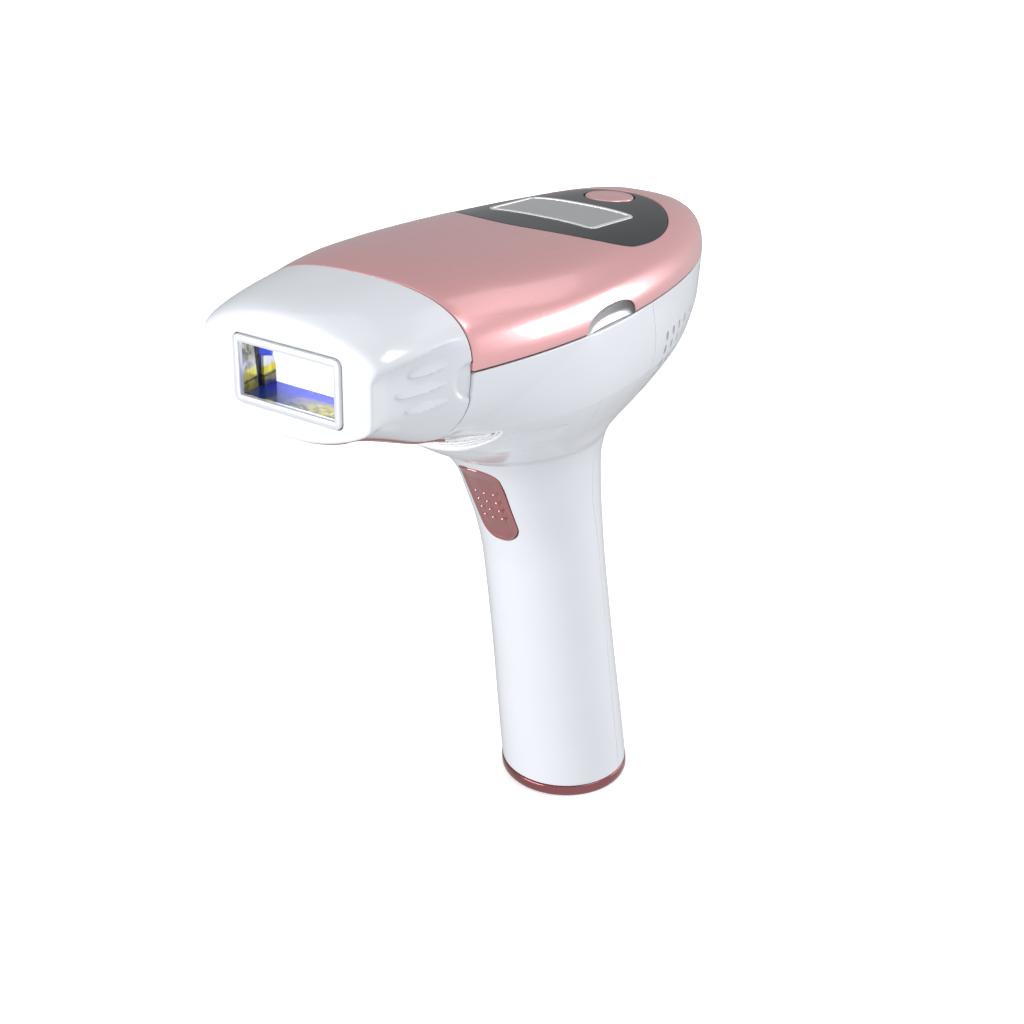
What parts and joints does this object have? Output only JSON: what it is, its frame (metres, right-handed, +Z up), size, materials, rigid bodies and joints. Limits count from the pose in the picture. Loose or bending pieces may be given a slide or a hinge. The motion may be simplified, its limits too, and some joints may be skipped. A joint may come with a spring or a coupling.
{
  "type": "ipl hair remover",
  "caption": "Pistol-shaped light-based hair remover with a pull-off lamp cartridge, a trigger, a display with a power button and a cooling fan.",
  "frame": {"origin": "centre of the flat base of the handle", "axes": "+Z up along the standing handle, -Y towards the light window, +X completes a right-handed frame; X = 0 is the plane of symmetry"},
  "size_m": [0.0842, 0.1711, 0.1979],
  "materials": {
    "white_gloss": "glossy moulded",
    "rose_metal": "satin metallic paint",
    "copper_metal": "satin metallic paint",
    "panel_dark": "smooth dark gloss",
    "lens_clear": "clear",
    "silver_trim": "bright",
    "lcd_glass": "smooth",
    "board_green": "solder mask",
    "switch_dark": "matt",
    "satin_chrome": "satin",
    "grille_white": "glossy moulded",
    "can_blue": "sleeve",
    "winding_copper": "enamelled wire",
    "sink_aluminium": "extruded",
    "fan_black": "matt",
    "inner_grey": "matt",
    "contact_brass": "plated",
    "screw_steel": "bright",
    "bezel_grey": "satin",
    "filter_blue": "coated",
    "quartz_clear": "polished",
    "mirror_bright": "polished",
    "cap_steel": "turned"
  },
  "bodies": {
    "housing": {"front_shell": "white_gloss", "rear_shell": "white_gloss", "top_cover": "rose_metal", "display_panel": "panel_dark", "lcd_lens": "lens_clear", "lcd_frame": "silver_trim", "lcd_module": "lcd_glass", "display_board": "board_green", "power_switch": "switch_dark", "side_accent_left": "satin_chrome", "side_accent_right": "satin_chrome", "intake_grille": "grille_white", "head_underplate": "rose_metal", "base_ring": "copper_metal", "base_cap": "grille_white", "dc_jack": "switch_dark", "handle_board": "board_green", "flash_capacitor": "can_blue", "pulse_transformer": "winding_copper", "power_transistor": "switch_dark", "heat_sink": "sink_aluminium", "fan_frame": "fan_black", "fan_motor": "winding_copper", "lamp_socket": "inner_grey", "socket_contacts": "contact_brass", "socket_screws": "screw_steel", "board_screws": "screw_steel", "trigger_switch": "switch_dark", "trigger_bracket": "inner_grey"},
    "lamp_cartridge": {"nose_housing": "white_gloss", "nose_underplate": "rose_metal", "window_bezel": "bezel_grey", "filter_glass": "filter_blue", "light_guide": "quartz_clear", "reflector": "mirror_bright", "flash_tube": "quartz_clear", "tube_end_caps": "cap_steel", "cartridge_frame": "inner_grey", "cartridge_pins": "contact_brass"},
    "trigger": {"trigger_button": "copper_metal"},
    "power_key": {"power_button": "rose_metal"},
    "fan_wheel": {"fan_rotor": "fan_black"}
  },
  "joints": [
    {"name": "cartridge_slide", "type": "slide", "parent": "housing", "child": "lamp_cartridge", "axis": [0, -0.9957, 0.0924], "range_m": [0, 0.03]},
    {"name": "trigger_press", "type": "slide", "parent": "housing", "child": "trigger", "axis": [0, 0.9397, 0.342], "range_m": [0, 0.0015], "stiffness_N_per_m": 900},
    {"name": "power_press", "type": "slide", "parent": "housing", "child": "power_key", "axis": [0, -0.1323, -0.9912], "range_m": [0, 0.0006], "stiffness_N_per_m": 900},
    {"name": "fan_spin", "type": "hinge", "parent": "housing", "child": "fan_wheel", "pos_m": [0, 0.00306, 0.16177], "axis": [0, 0.9957, -0.0924], "continuous": true}
  ]
}
